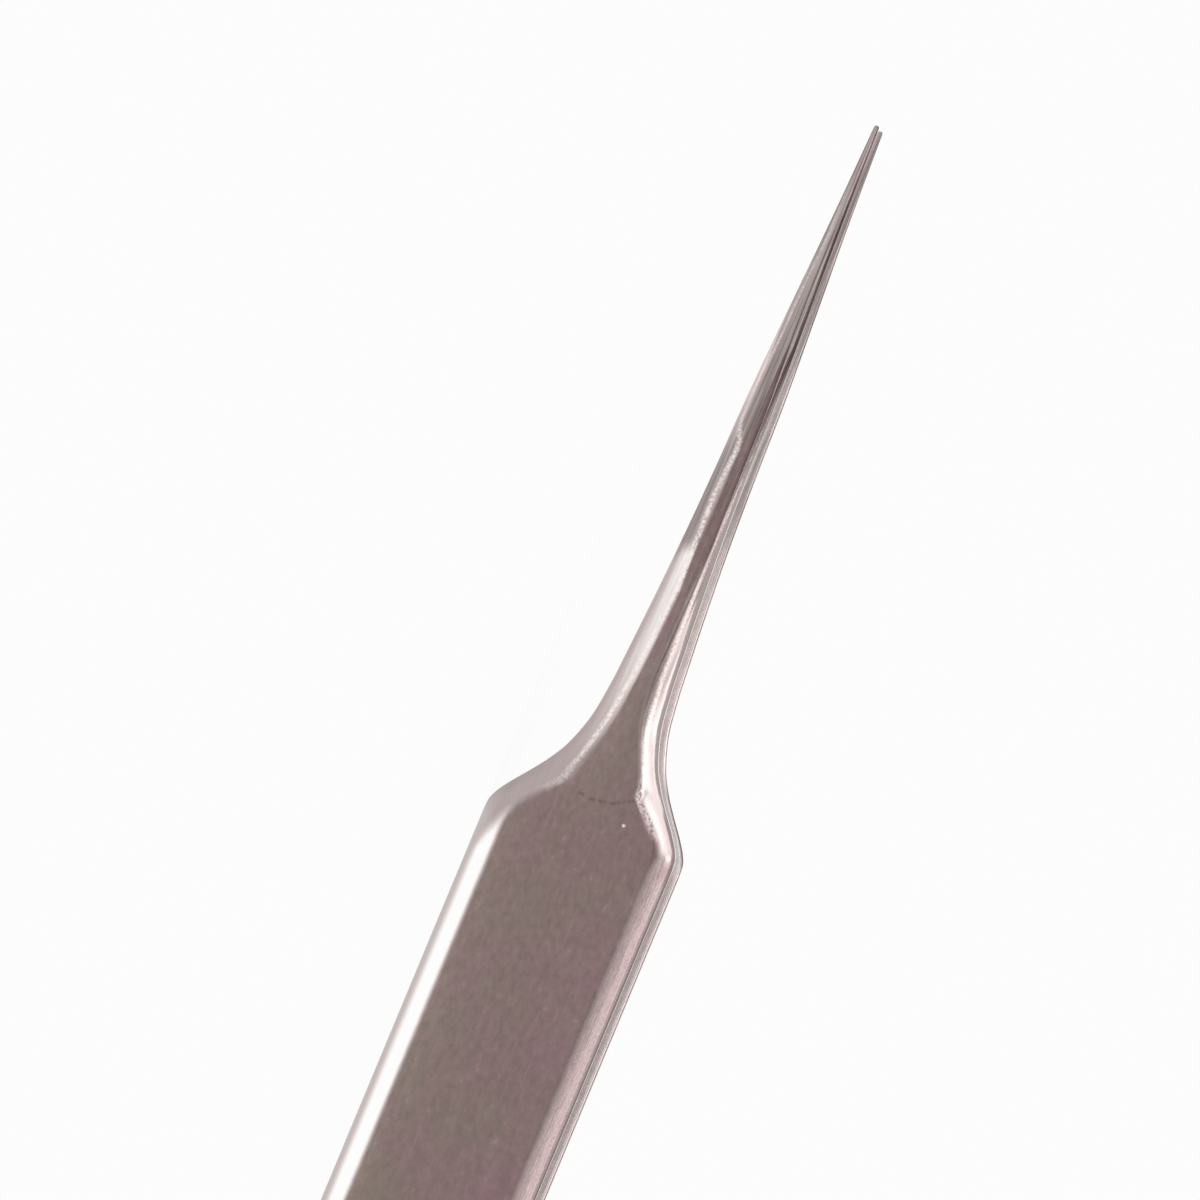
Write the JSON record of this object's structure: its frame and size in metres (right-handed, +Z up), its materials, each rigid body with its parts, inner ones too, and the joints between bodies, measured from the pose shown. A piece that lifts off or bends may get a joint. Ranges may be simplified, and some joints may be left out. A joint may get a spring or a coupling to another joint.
{
  "type": "straight tweezers",
  "caption": "Steel spring tweezers with a broad bevelled grip and straight needle points, on a welded heel.",
  "frame": {"origin": "centre of the underside of the bounding box: the tool lies on the lower long edges of its two leaves", "axes": "+X along the tool towards the points, +Y towards the front arm, which is the way it opens, +Z up across the width of the leaves"},
  "size_m": [0.125, 0.0116, 0.009],
  "materials": {
    "ground_steel": "fine satin ground stainless steel with light scratches",
    "spacer_steel": "plain milled stainless steel",
    "weld_steel": "dressed weld metal, finely ground"
  },
  "bodies": {
    "heel": {"heel_spacer": "spacer_steel", "heel_weld_upper": "weld_steel", "heel_weld_lower": "weld_steel", "heel_weld_end": "weld_steel"},
    "front_arm": {"front_arm": "ground_steel"},
    "back_arm": {"back_arm": "ground_steel"}
  },
  "joints": [
    {"name": "front_arm_flex", "type": "hinge", "parent": "heel", "child": "front_arm", "pos_m": [-0.0537, 0.00106, 0.0045], "axis": [0, 0, -1], "range_deg": [0, 1.25], "stiffness_Nm_per_rad": 2.5},
    {"name": "back_arm_flex", "type": "hinge", "parent": "heel", "child": "back_arm", "pos_m": [-0.0537, -0.00106, 0.0045], "axis": [0, 0, 1], "range_deg": [0, 1.25], "stiffness_Nm_per_rad": 2.5}
  ],
  "couplings": [
    {"joint": "back_arm_flex", "follows": "front_arm_flex", "ratio": 1}
  ]
}
